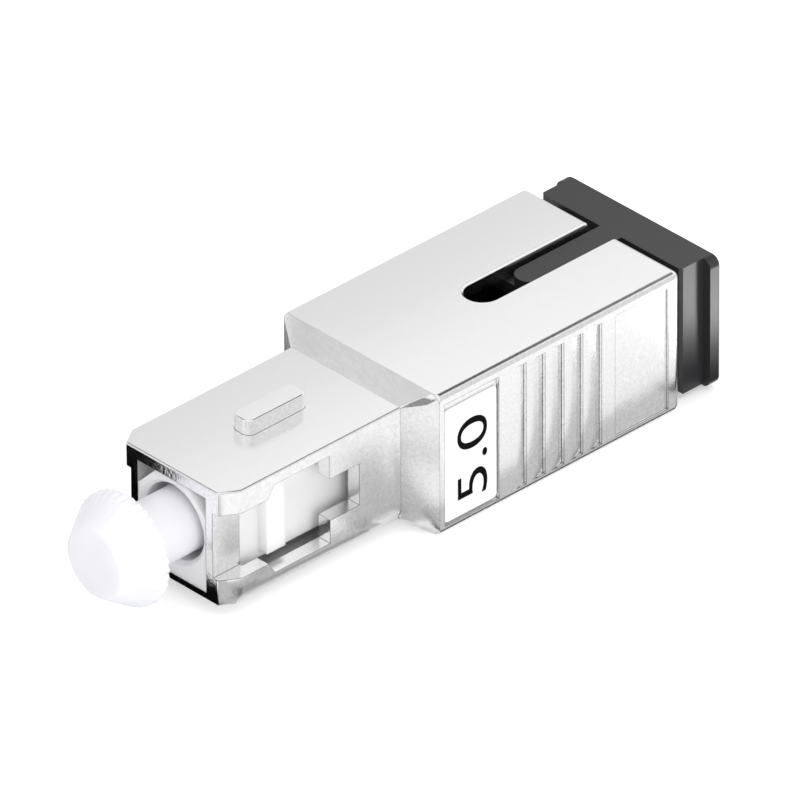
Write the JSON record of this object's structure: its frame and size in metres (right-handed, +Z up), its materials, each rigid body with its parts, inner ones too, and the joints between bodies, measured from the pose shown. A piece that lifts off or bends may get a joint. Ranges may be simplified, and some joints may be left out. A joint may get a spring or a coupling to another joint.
{
  "type": "plug-in fibre attenuator",
  "caption": "Plug-in fixed optical attenuator: rectangular metal shell with a windowed push-pull plug at one end, a keyed receptacle at the other, and dust covers on both.",
  "frame": {"origin": "on the optical axis, in the plane of the plug's front face", "axes": "+X along the optical axis from the plug end to the receptacle end, +Z up on the side of the keys, +Y to the left when looking along +X, with the label on the -Y side"},
  "size_m": [0.0433, 0.0128, 0.0094],
  "materials": {
    "plated_casting": "satin nickel plating on a zinc die casting",
    "label_film": "printed white film",
    "white_moulding": "smooth moulded",
    "dark_moulding": "smooth moulded",
    "zirconia": "ground and polished",
    "fibre_glass": "clear",
    "turned_steel": "turned",
    "spring_wire": "drawn wire",
    "cap_moulding": "soft translucent moulded",
    "black_moulding": "fine satin moulded"
  },
  "bodies": {
    "shell": {"outer_shell": "plated_casting", "value_label": "label_film"},
    "core": {"plug_frame": "white_moulding", "latch_housing": "dark_moulding", "sleeve_retainer": "dark_moulding", "split_sleeve": "zirconia", "ferrule_spring": "spring_wire"},
    "ferrule_set": {"ferrule": "zirconia", "ferrule_flange": "turned_steel", "doped_fibre": "fibre_glass"},
    "dust_cap": {"ferrule_dust_cap": "cap_moulding"},
    "dust_plug": {"receptacle_dust_plug": "black_moulding"}
  },
  "joints": [
    {"name": "core_float", "type": "slide", "parent": "shell", "child": "core", "axis": [-1, 0, 0], "range_m": [0, 0.0012]},
    {"name": "ferrule_retract", "type": "slide", "parent": "core", "child": "ferrule_set", "axis": [1, 0, 0], "range_m": [0, 0.001], "stiffness_N_per_m": 1200, "deforming": ["ferrule_spring"]},
    {"name": "dust_cap_pull", "type": "slide", "parent": "ferrule_set", "child": "dust_cap", "axis": [-1, 0, 0], "range_m": [0, 0.0056]},
    {"name": "dust_plug_pull", "type": "slide", "parent": "shell", "child": "dust_plug", "axis": [1, 0, 0], "range_m": [0, 0.0066]}
  ]
}
